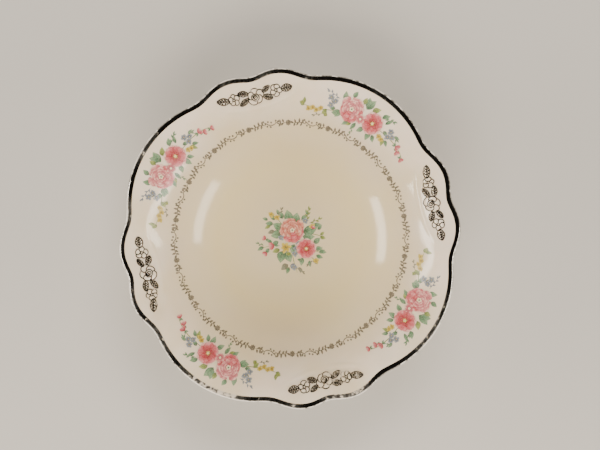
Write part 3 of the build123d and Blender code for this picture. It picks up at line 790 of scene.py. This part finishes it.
# One spray, x along the rim anticlockwise from its middle and y outward, in mm
def drawSpray():
    sheet = newPrint()
    floret, bud = sprayPlan["floret"], sprayPlan["bud"]
    addStem(sheet, [(-8, -2), (-22, -1), (-34, -2), (-41, -4)], 0.5, mossGreen, 0)
    addStem(sheet, [(12, -2), (24, -4), (36, -7), (46, -4)], 0.5, mossGreen, 0)
    for place, heading, length, width, finish in (
        ((1, 5), 100, 8.5, 5, leafGreen), ((0, 6), 60, 7.5, 4.5, leafGreen),
        ((-3, 6), 130, 6, 3.6, mossGreen), ((16, 4), 65, 6.5, 3.6, leafGreen),
        ((16, -4), -25, 7.5, 4.6, leafGreen), ((17, -3), -70, 6, 3.8, leafGreen),
        ((-9, -6), -110, 6.5, 4.2, leafGreen), ((-4, -6), -60, 6, 3.6, leafGreen),
        ((3, -6), -80, 6, 3, leafGreen), ((6, -7), -50, 5, 2.6, mossGreen),
        ((-15, 4), 110, 6, 2.4, leafGreen), ((-20, -4), -130, 5.6, 2.8, mossGreen),
        ((-22, -4), -160, 5, 2.4, leafGreen), ((27, -5), -60, 5, 3, mossGreen),
        ((44, -5), 20, 4.2, 2.6, mossGreen), ((44, -4), 80, 4.2, 2.4, mossGreen),
        ((-12, -7), -150, 5.5, 3, leafGreen), ((12, 8), 95, 5, 3, leafGreen),
        ((4, 7), 80, 5, 3, mossGreen), ((21, -3), -10, 5, 2.8, leafGreen),
        ((-17, 0), -170, 5, 2.6, leafGreen), ((9, -7), -60, 5.5, 2.8, leafGreen),
        ((-11, 6), 120, 5.5, 3.2, leafGreen), ((23, 0), 40, 4.5, 2.2, greyLine),
        ((-25, 2), 160, 4.5, 2, leafGreen),
    ):
        addLeaf(sheet, place, heading, length, width, finish, 1)
    addSprig(sheet, (-13, 6), 150, 6.0, 4, 2.6, leafGreen, 1)
    addSprig(sheet, (-20, 1), 175, 8.0, 4, 2.4, leafGreen, 1)
    addSprig(sheet, (20, 4), 20, 9.0, 5, 2.2, blueGrey, 1)
    addSprig(sheet, (4, -8), -100, 5.0, 4, 2.2, leafGreen, 1)
    addSprig(sheet, (30, -9), -15, 6.0, 3, 2.0, greyLine, 1)
    for x, y, turn in (
        (22.5, 1.5, 0), (26, 3.2, 30), (25, -1.8, 50), (-21.5, 2.8, 10), (-24.5, 0.5, 40),
        (-22, -1.2, 0),
    ):
        addFloret(sheet, (x, y), floret, 5, blueGrey, yellow, 3, turn)
    for x, y, turn in (
        (31.5, -5.5, 0), (34.5, -7.2, 30), (37.5, -6, 15), (40.5, -7, 40), (-17, -4.6, 0),
        (-19.6, -5.4, 30),
    ):
        addFloret(sheet, (x, y), floret * 0.88, 5, yellow, mossGreen, 3, turn)
    for x, y, turn in ((27, -8.6, 20), (45.4, -3.6, 10)):
        addFloret(sheet, (x, y), floret * 0.8, 4, mossGreen, yellow, 3, turn)
    addBud(sheet, (-30.5, -1.6), 175, bud, 3)
    addBud(sheet, (-33.5, -3.4), 200, bud * 0.9, 3)
    addBud(sheet, (-39.5, -4.4), 190, bud * 0.85, 3)
    addFullRose(sheet, (10.0, 0.5), sprayPlan["paleRose"], -100, 4, paleRose, deepRose)
    addOpenRose(sheet, (-7.6, -0.8), sprayPlan["openRose"], 20, 4)
    for number in range(6):
        addPetal(sheet, (1.4, -2.6), number * 60 + 15, 3.6, 2.4, paleRose, 16, cells=(5, 3))
    addDot(sheet, (1.4, -2.6), 0.8, stamen, 18)
    return sheet


# Carries a spray to its middle angle on the flange
def toFlange(middle):
    def carry(x, y):
        turn = middle + x / sprayPlan["radius"]
        return (sprayPlan["radius"] + y) * np.cos(turn), (sprayPlan["radius"] + y) * np.sin(turn)
    return carry


for number in range(4):
    middle = math.radians(sprayPlan["middle"] + 90 * number)
    spray = finishPrint(drawSpray(), f"rose_spray_print_{number + 1}", toFlange(middle), enamels)
    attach(spray, "root")
    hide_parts(f"rose_spray_{number + 1}")
print("rose sprays made")

# Bouquet on the floor

bouquetPlan = {"turn": -13.75, "paleRose": 9.2, "openRose": 7.9, "golden": 4.6, "floret": 2.6, "bud": 3.2}


def drawBouquet():
    sheet = newPrint()
    floret, bud = bouquetPlan["floret"], bouquetPlan["bud"]
    for places in (
        ((1, -8), (2, -16), (5, -26)), ((-8, -6), (-14, -6), (-22, -8)), ((6, 8), (11, 14), (13, 21)),
        ((-5, 8), (-10, 14), (-15, 18)), ((14, -8), (19, -10), (24, -11)), ((14, 3), (20, 2), (25, 0)),
        ((12, -12), (16, -15), (19, -18)),
    ):
        addStem(sheet, places, 0.45, mossGreen, 0)
    for place, heading, length, width, finish in (
        ((-1, 11), 92, 10, 7, leafGreen), ((3, 11), 68, 8, 6, leafGreen),
        ((-6, 6), 140, 8.5, 6, leafGreen), ((-7, 3), 185, 8, 6.4, leafGreen),
        ((9, 4), 12, 12, 7.4, leafGreen), ((9, 1), -10, 9, 5.5, leafGreen),
        ((-6, -10), -110, 9, 6.6, leafGreen), ((-3, -10), -78, 9, 6, leafGreen),
        ((-2, -20), -150, 6.5, 4.6, greyLine), ((2, -19), -95, 5.5, 4.6, blueGrey),
        ((-13, 10), 165, 6, 3.6, leafGreen), ((-20, -7), 200, 5.5, 2.8, leafGreen),
        ((21, -11), 15, 5, 3, leafGreen), ((22, -10), -20, 5, 2.6, leafGreen),
        ((22, 1), -30, 4.5, 2.8, mossGreen), ((22, 2), 30, 4, 2.2, mossGreen),
        ((17, -16), -60, 5, 2.4, greyLine), ((5, -16), -20, 4.5, 2, leafGreen),
        ((-12, 13), 120, 6, 3, leafGreen), ((-15, 9), 200, 5, 2.6, mossGreen),
        ((-9, 17), 100, 4.5, 2.4, leafGreen), ((-17, 13), 150, 4.5, 2.4, leafGreen),
        ((-16, -8), 230, 5, 2.8, leafGreen), ((-14, -4), 140, 5, 2.6, leafGreen),
        ((13, 17), 110, 4.5, 2.4, leafGreen), ((17, 10), -10, 6, 3, leafGreen),
        ((20, 6), 40, 5, 2.6, leafGreen), ((6, -22), -60, 5, 2.6, greyLine),
        ((-1, -22), -120, 5.5, 3, leafGreen), ((19, -13), -30, 5.5, 3, leafGreen),
        ((14, -17), -90, 5, 2.6, leafGreen), ((-6, 14), 110, 6.5, 4, leafGreen),
        ((8, 13), 40, 6, 3.6, leafGreen), ((3, -5), -120, 7, 4.4, leafGreen),
        ((2, -6), -60, 8, 4.4, leafGreen), ((-9, -3), 200, 6, 3.4, leafGreen),
        ((-8, -9), 190, 6, 3.6, mossGreen), ((17, -4), 30, 6.5, 4, leafGreen),
        ((18, -8), -5, 6, 3.4, leafGreen), ((9, -15), -110, 6, 3.6, leafGreen),
        ((-12, 5), 190, 5.5, 3, greyLine),
    ):
        addLeaf(sheet, place, heading, length, width, finish, 1)
    addSprig(sheet, (12, 13), 80, 8.0, 5, 3.0, mossGreen, 1)
    addSprig(sheet, (14, 11), 20, 8.0, 4, 2.6, mossGreen, 1)
    addSprig(sheet, (-10, 15), 60, 7.0, 4, 2.4, greyLine, 1)
    addSprig(sheet, (3, -21), -40, 8.0, 4, 2.2, greyLine, 1)
    addSprig(sheet, (-20, -6), 160, 4.5, 3, 2.2, leafGreen, 1)
    addSprig(sheet, (17, -17), -140, 5.0, 3, 2.2, greyLine, 1)
    for x, y, turn in (
        (3, -12, 0), (4.2, -8, 30), (-7.2, 0, 20), (10.8, 12.6, 10), (2.4, -22, 0), (5.8, -4.4, 40),
    ):
        addFloret(sheet, (x, y), floret, 5, blueGrey, yellow, 3, turn)
    for x, y, turn in ((-14.6, 17.2, 0), (-10.4, 15.0, 30), (18.8, -17.2, 15), (16.0, 8.4, 40)):
        addFloret(sheet, (x, y), floret, 5, yellow, mossGreen, 3, turn)
    addFloret(sheet, (-3.8, -7.2), bouquetPlan["golden"], 6, yellow, mossGreen, 5, 10)
    addFloret(sheet, (-1.6, -12.0), floret * 0.8, 4, mossGreen, yellow, 5, 10)
    for x, y, heading, size in (
        (-12, -5.6, 195, bud * 1.2), (-18.4, -1.2, 150, bud * 0.8), (-18, -10.6, 230, bud * 0.9),
        (16, 6.4, 60, bud * 0.7),
    ):
        addBud(sheet, (x, y), heading, size, 3)
    addFullRose(sheet, (1.2, 5.6), bouquetPlan["paleRose"], -92, 4, salmonRose, deepRose)
    addOpenRose(sheet, (11.6, -8.2), bouquetPlan["openRose"], 50, 5)
    return sheet


def toFloor(x, y):
    turn = math.radians(bouquetPlan["turn"])
    return x * math.cos(turn) - y * math.sin(turn), x * math.sin(turn) + y * math.cos(turn)


bouquet = finishPrint(drawBouquet(), "centre_bouquet_print", toFloor, enamels)
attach(bouquet, "root")
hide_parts("centre_bouquet")
print("bouquet made")

# Printed ring: one repeat, carried round by geometry nodes

ringPlan = {
    "repeats": 18, "start": -2.75, "rosette": 2.1, "leaf": 2.9, "leafWidth": 1.35, "stem": 0.62, "dot": 0.66,
}


# One repeat of the ring, x along it from the round flower, y outward, in mm
def drawRepeat():
    sheet = newPrint()
    for number in range(8):
        addPetal(sheet, (0, 0), number * 45, ringPlan["rosette"], 1.5, 0, number % 2, cells=(3, 2))
    addDot(sheet, (0, 0), 0.9, 0, 2)
    leafLength = ringPlan["leaf"]
    addStem(sheet, [(2.2, 0.3), (6.0, -0.6), (9.4, 1.2)], ringPlan["stem"], 0, 0)
    addStem(sheet, [(8.4, 0.9), (11.0, -0.8), (14.0, -0.2)], ringPlan["stem"], 0, 0)
    addStem(sheet, [(13.4, -1.2), (15.0, 0.2), (17.4, 1.8)], ringPlan["stem"], 0, 0)
    addStem(sheet, [(16.6, -0.6), (20.0, 0.4), (25.6, -0.4)], ringPlan["stem"], 0, 0)
    for x, y, heading, size in (
        (3.2, 0.2, 60, 0.9), (3.6, 0, -50, 0.9), (5.4, -0.4, 70, 1), (5.8, -0.5, -60, 0.8),
        (7.6, 0.2, 110, 0.8), (18.4, 0.2, 75, 0.9), (19.2, 0.2, -70, 0.9), (21, 0.3, 80, 1),
        (21.8, 0.3, -65, 0.9), (23.6, 0, 60, 0.9), (24.2, -0.2, -75, 0.8), (25.2, -0.3, 20, 1),
    ):
        addLeaf(sheet, (x, y), heading, leafLength * size, ringPlan["leafWidth"], 0, 1)
    for x, y in (
        (8.8, 1.8), (12.2, 1), (13, -1.9), (14.4, 1.6), (16.4, 0.6), (17.6, 2.2), (15.4, -1.2),
    ):
        addDot(sheet, (x, y), ringPlan["dot"], 0, 1)
    return sheet


def makeRoundTree():
    tree, given = startTree("repeat_round", {
        "Geometry": "Geometry", "Repeats": "Int", "Start": "Float", "Finish": "Material",
    })
    spots = addNode(
        tree, "GeometryNodeMeshLine", {"Count": given["Repeats"]}, {"Offset": (0, 0, 0)}
    ).outputs["Mesh"]
    index = addNode(tree, "GeometryNodeInputIndex").outputs[0]
    step = addNode(
        tree, "ShaderNodeMath", {1: given["Repeats"]}, {0: 2 * math.pi}, operation="DIVIDE"
    ).outputs[0]
    turn = addNode(
        tree, "ShaderNodeMath", {0: index, 1: step, 2: given["Start"]}, operation="MULTIPLY_ADD"
    ).outputs[0]
    spin = addNode(tree, "ShaderNodeCombineXYZ", {"Z": turn}).outputs[0]
    copies = addNode(tree, "GeometryNodeInstanceOnPoints", {
        "Points": spots, "Instance": given["Geometry"], "Rotation": spin,
    }).outputs[0]
    return endTree(tree, copies, given["Finish"])


def toRing(x, y):
    turn = x / shoulderRadius
    return (shoulderRadius + y) * np.cos(turn), (shoulderRadius + y) * np.sin(turn)


oneRepeat = finishPrint(drawRepeat(), "ring_repeat", toRing, [])
ringPrint = runTree("border_print_ring", oneRepeat.data, makeRoundTree(), {
    "Repeats": ringPlan["repeats"], "Start": math.radians(ringPlan["start"]), "Finish": ringInk,
})
bpy.data.objects.remove(oneRepeat)
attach(ringPrint, "root")
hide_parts("border_print")
print("printed ring made")

# Moulded garlands, with metal lines along their edges

garlandPlan = {
    "middle": 102.5, "height": 0.9, "sunk": 0.04, "cell": 0.24, "span": 30.0, "inward": 12.0,
    "outward": 8.5, "lineWidth": 0.72, "lineSides": 6, "grooves": 0.16, "hatch": 0.5,
    "seed": 7, "uneven": 1.0, "ridge": 0.34, "ridgeWidth": 1.5, "ridgeMiddle": -8.0, "ridgeEnd": -3.4,
}


# Centre along and outward, heading, length, width, height and kind of each moulded petal and leaf
def garlandPetals():
    petals = []
    hand = np.random.default_rng(garlandPlan["seed"])      # the modeller's unevenness
    for number in range(5):
        turn = number * 72 + 90
        away = math.radians(turn)
        petals.append((3.5 * math.cos(away), 2.8 * math.sin(away), turn, 5.0, 6.2, 0.8, "petal"))
    petals.append((0.2, -0.2, 20, 5.4, 4.8, 0.95, "petal"))
    petals.append((0.7, -0.5, 60, 3.2, 2.9, 1.1, "petal"))
    petals.append((0.9, -0.5, 0, 1.3, 1.2, 1.25, "petal"))
    for end in (1, -1):
        for lean, outward, away in ((24, 3.2, 8.0), (-26, -2.4, 8.6)):
            petals.append((end * away, outward, 90 - end * (90 - lean), 7.4, 3.7, 0.75, "leaf"))
        for number in range(5):
            turn = number * 72 + 90 * end
            along = end * 15.0 + 2.3 * math.cos(math.radians(turn))
            outward = 0.9 + 2.3 * math.sin(math.radians(turn))
            petals.append((along, outward, turn, 3.7, 3.9, 0.75, "petal"))
        petals.append((end * 15.0, 0.9, 0, 1.5, 1.5, 1.0, "petal"))
        petals.append((end * 22.6, 1.2, 90 - end * 84, 8.4, 4.6, 0.8, "leaf"))
    uneven = garlandPlan["uneven"]
    return [
        (
            along + hand.normal(0, 0.25 * uneven), outward + hand.normal(0, 0.25 * uneven),
            heading + hand.normal(0, 9 * uneven), length * hand.uniform(1 - 0.12 * uneven, 1 + 0.16 * uneven),
            width * hand.uniform(1 - 0.14 * uneven, 1 + 0.14 * uneven), rise, kind,
        )
        for along, outward, heading, length, width, rise, kind in petals
    ]


# Place along and across a petal, 0 at its centre and 1 at its edge
def inPetal(petal, along, outward):
    middle, out, heading, length, width = petal[:5]
    turn = math.radians(heading)
    a = ((along - middle) * math.cos(turn) + (outward - out) * math.sin(turn)) / (length / 2)
    b = (-(along - middle) * math.sin(turn) + (outward - out) * math.cos(turn)) / (width / 2)
    return a, b


# Height of the moulding, and how much grey metal lies on it: platinum on the leaf hatching, with more in the
# grooves and at the petal roots as painted shade
def reliefHeight(along, outward):
    height, metal = np.zeros_like(along), np.zeros_like(along)
    for petal in garlandPetals():
        rise, kind = petal[5:]
        a, b = inPetal(petal, along, outward)
        pinch = 1 + (0.55 * a * a if kind == "leaf" else 0)
        dome = garlandPlan["height"] * rise * np.sqrt(np.maximum(1 - a * a - (b * pinch) ** 2, 0))
        if kind == "leaf":
            ribs = 1 + np.cos(a * 16 + np.abs(b) * 5)
            dome *= 1 - garlandPlan["grooves"] * ribs
            rubbed = garlandPlan["hatch"] * (0.25 + 0.5 * ribs)
        else:
            # grey spot at each petal root: platinum where the petals meet, darkened as painted shade
            rubbed = 0.9 * np.clip(0.35 - np.hypot(a + 0.75, b), 0, 0.35) / 0.35 * np.ones_like(dome)
        higher = dome > height
        height = np.where(higher, dome, height)
        metal = np.where(higher, rubbed, metal)
    reach = along / garlandPlan["span"]
    crest = garlandPlan["ridgeMiddle"] + (garlandPlan["ridgeEnd"] - garlandPlan["ridgeMiddle"]) * reach ** 2
    fold = garlandPlan["ridge"] * np.exp(-((outward - crest) / garlandPlan["ridgeWidth"]) ** 2)
    return np.maximum(height, fold * np.clip(2.5 * (1 - np.abs(reach)), 0, 1)), metal


def garlandPoints(along, outward, lift, turn):
    x = garlandPlan["middle"] + outward
    c, s = math.cos(turn), math.sin(turn)
    return onBowl(x * c - along * s, x * s + along * c, lift) * mm


def makeLineTree():
    tree, given = startTree("metal_line", {
        "Geometry": "Geometry", "Line Radius": "Float", "Sides": "Int", "Finish": "Material",
    })
    path = addNode(tree, "GeometryNodeMeshToCurve", {"Mesh": given["Geometry"]}).outputs[0]
    ring = addNode(tree, "GeometryNodeCurvePrimitiveCircle", {
        "Resolution": given["Sides"], "Radius": given["Line Radius"],
    }).outputs["Curve"]
    tube = addNode(
        tree, "GeometryNodeCurveToMesh", {"Curve": path, "Profile Curve": ring}, {"Fill Caps": True}
    ).outputs[0]
    smooth = addNode(tree, "GeometryNodeSetShadeSmooth", {"Geometry": tube}).outputs[0]
    return endTree(tree, smooth, given["Finish"])


# Flat loops round each petal and leaf and short strokes on the leaves, as along, outward, closed and seen
def garlandLines():
    lines = []
    share = np.linspace(0, 2 * math.pi, 26, endpoint=False)
    petals = garlandPetals()
    for number, (middle, out, heading, length, width, rise, kind) in enumerate(petals):
        turn = math.radians(heading)
        a = np.cos(share) * 0.94
        b = np.sin(share) * 0.94 / (1 + (0.55 * a * a if kind == "leaf" else 0))
        strokes = [(a, b, True)]
        if kind == "leaf":
            strokes.append((np.linspace(-0.8, 0.8, 6), np.zeros(6), False))
            for start in (-0.45, -0.05, 0.35):
                strokes.append((np.linspace(start, start + 0.3, 4), np.linspace(0.05, 0.7, 4), False))
                strokes.append((np.linspace(start, start + 0.3, 4), np.linspace(-0.05, -0.7, 4), False))
        for a, b, closed in strokes:
            along = middle + a * length / 2 * math.cos(turn) - b * width / 2 * math.sin(turn)
            outward = out + a * length / 2 * math.sin(turn) + b * width / 2 * math.cos(turn)
            seen = np.ones(len(along), bool)
            for other, petal in enumerate(petals):
                above = petal[5] > rise + 0.04 or (abs(petal[5] - rise) <= 0.04 and other > number)
                if above and kind == petal[6]:
                    seen &= np.hypot(*inPetal(petal, along, outward)) > 0.9      # not under another
            lines.append((along, outward, closed, seen))
    return lines


lineTree = makeLineTree()
cell = garlandPlan["cell"]
along, outward = np.meshgrid(
    np.arange(-garlandPlan["span"], garlandPlan["span"] + cell, cell),
    np.arange(-garlandPlan["inward"], garlandPlan["outward"] + cell, cell), indexing="ij",
)
rise, rubbed = reliefHeight(along, outward)
rise = rise.ravel() - garlandPlan["sunk"]
index = np.arange(along.size).reshape(along.shape)
reliefFaces = np.stack([index[:-1, :-1], index[:-1, 1:], index[1:, 1:], index[1:, :-1]], -1).reshape(-1, 4)
raised = (rise[reliefFaces] > -garlandPlan["sunk"] + 0.001).any(1)
reliefFaces = reliefFaces[raised]

linesDrawn = garlandLines()
for number in range(4):
    turn = math.radians(90 * number)
    reliefMesh = bpy.data.meshes.new(f"garland_relief_{number + 1}")
    reliefMesh.from_pydata(
        garlandPoints(along.ravel(), outward.ravel(), rise, turn).tolist(), [], reliefFaces.tolist()
    )
    platinumAndShadeShare = reliefMesh.attributes.new("rubbed", "FLOAT", "POINT")
    platinumAndShadeShare.data.foreach_set("value", rubbed.ravel().astype(np.float32))
    reliefMesh.materials.append(platinumAndShadeGlaze)
    tidyMesh(reliefMesh)
    relief = newPiece(reliefMesh.name, reliefMesh)
    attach(relief, "root")
    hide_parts("glaze_coat")

    points, edges = [], []
    for lineAlong, lineOutward, closed, seen in linesDrawn:
        lift = reliefHeight(lineAlong, lineOutward)[0]
        start = len(points)
        points += garlandPoints(lineAlong, lineOutward, lift, turn).tolist()
        count = len(lineAlong)
        for step in range(count if closed else count - 1):
            last = (step + 1) % count
            if seen[step] and seen[last]:
                edges.append((start + step, start + last))
    lineMesh = bpy.data.meshes.new("garland_line_path")
    lineMesh.from_pydata(points, edges, [])
    metalLine = runTree(f"garland_metal_line_{number + 1}", lineMesh, lineTree, {
        "Line Radius": garlandPlan["lineWidth"] / 2 * mm, "Sides": garlandPlan["lineSides"],
        "Finish": lineLustrePaintedDark,
    })
    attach(metalLine, "root")
    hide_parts(f"garland_line_{number + 1}")
print("garlands made")

# Studio

studio = {
    "floorSize": 12.0, "floorColour": "#c8c5bf", "viewWidth": 0.4168, "distance": 0.75, "roll": -13.75,
    "right": 0.00695, "up": 0.00945, "sensor": 36.0, "lightAim": 0.03,      # metres, sensor in mm
    "sky": [(0.0, "#8f8d89"), (0.3, "#77756f"), (0.62, "#33312e"), (0.8, "#211f1c")],      # below to above
}
# Azimuth from the right of the view, elevation, distance, width, height, watts, colour, seen in the glaze
lights = {
    "key_softbox": (-95, 45, 1.5, 1.2, 0.8, 29, "#fff4e6", False),
    "top_fill": (80, 50, 1.6, 1.0, 0.7, 22, "#fff6ea", False),
    "left_window": (186, 20, 1.3, 0.9, 0.24, 10, "#fff8ee", True),
    "right_window": (-18, 20, 1.3, 0.9, 0.24, 8, "#fff8ee", True),
}

floorMesh = bpy.data.meshes.new("floor")
side = studio["floorSize"] / 2
corners = [(-side, -side, 0), (side, -side, 0), (side, side, 0), (-side, side, 0)]
floorMesh.from_pydata(corners, [], [(0, 1, 2, 3)])
floor = newPiece("floor", floorMesh)
floorPaint, _, floorShader = startMaterial("matt_paper_backdrop")
floorShader.inputs["Base Color"].default_value = toLinear(studio["floorColour"])
floorShader.inputs["Roughness"].default_value = 0.9
floorMesh.materials.append(floorPaint)

roll = math.radians(studio["roll"])
rightward = np.array([math.cos(roll), math.sin(roll), 0])
upward = np.array([-math.sin(roll), math.cos(roll), 0])
rimHeight = shape["lipTop"] * mm
above = np.array([0, 0, rimHeight + studio["distance"]])
cameraPlace = rightward * studio["right"] + upward * studio["up"] + above
cameraData = bpy.data.cameras.new("camera")
cameraData.sensor_width = studio["sensor"]
cameraData.lens = studio["sensor"] * studio["distance"] / studio["viewWidth"]
camera = newPiece("camera", cameraData)
camera.location = cameraPlace
camera.rotation_euler = (0, 0, roll)
bpy.context.scene.camera = camera

for name, (azimuth, elevation, distance, width, height, power, colour, seen) in lights.items():
    turn = math.radians(azimuth) + roll
    rise = math.radians(elevation)
    data = bpy.data.lights.new(name, "AREA")
    data.shape = "RECTANGLE"
    data.size = width
    data.size_y = height
    data.energy = power
    data.color = toLinear(colour)[:3]
    light = newPiece(name, data)
    flat = distance * math.cos(rise)
    height = distance * math.sin(rise) + studio["lightAim"]
    light.location = (flat * math.cos(turn), flat * math.sin(turn), height)
    light.rotation_euler = (math.pi / 2 - rise, 0, turn + math.pi / 2)
    light.visible_glossy = seen

world = bpy.data.worlds.new("dim_room")
world.use_nodes = True
skyTree = world.node_tree
direction = addNode(skyTree, "ShaderNodeTexCoord").outputs["Generated"]
up = addNode(skyTree, "ShaderNodeSeparateXYZ", {0: direction}).outputs["Z"]
sky = addNode(skyTree, "ShaderNodeValToRGB", {"Fac": up}, stops=studio["sky"]).outputs["Color"]
skyTree.links.new(sky, skyTree.nodes["Background"].inputs["Color"])
bpy.context.scene.world = world
print("studio made")
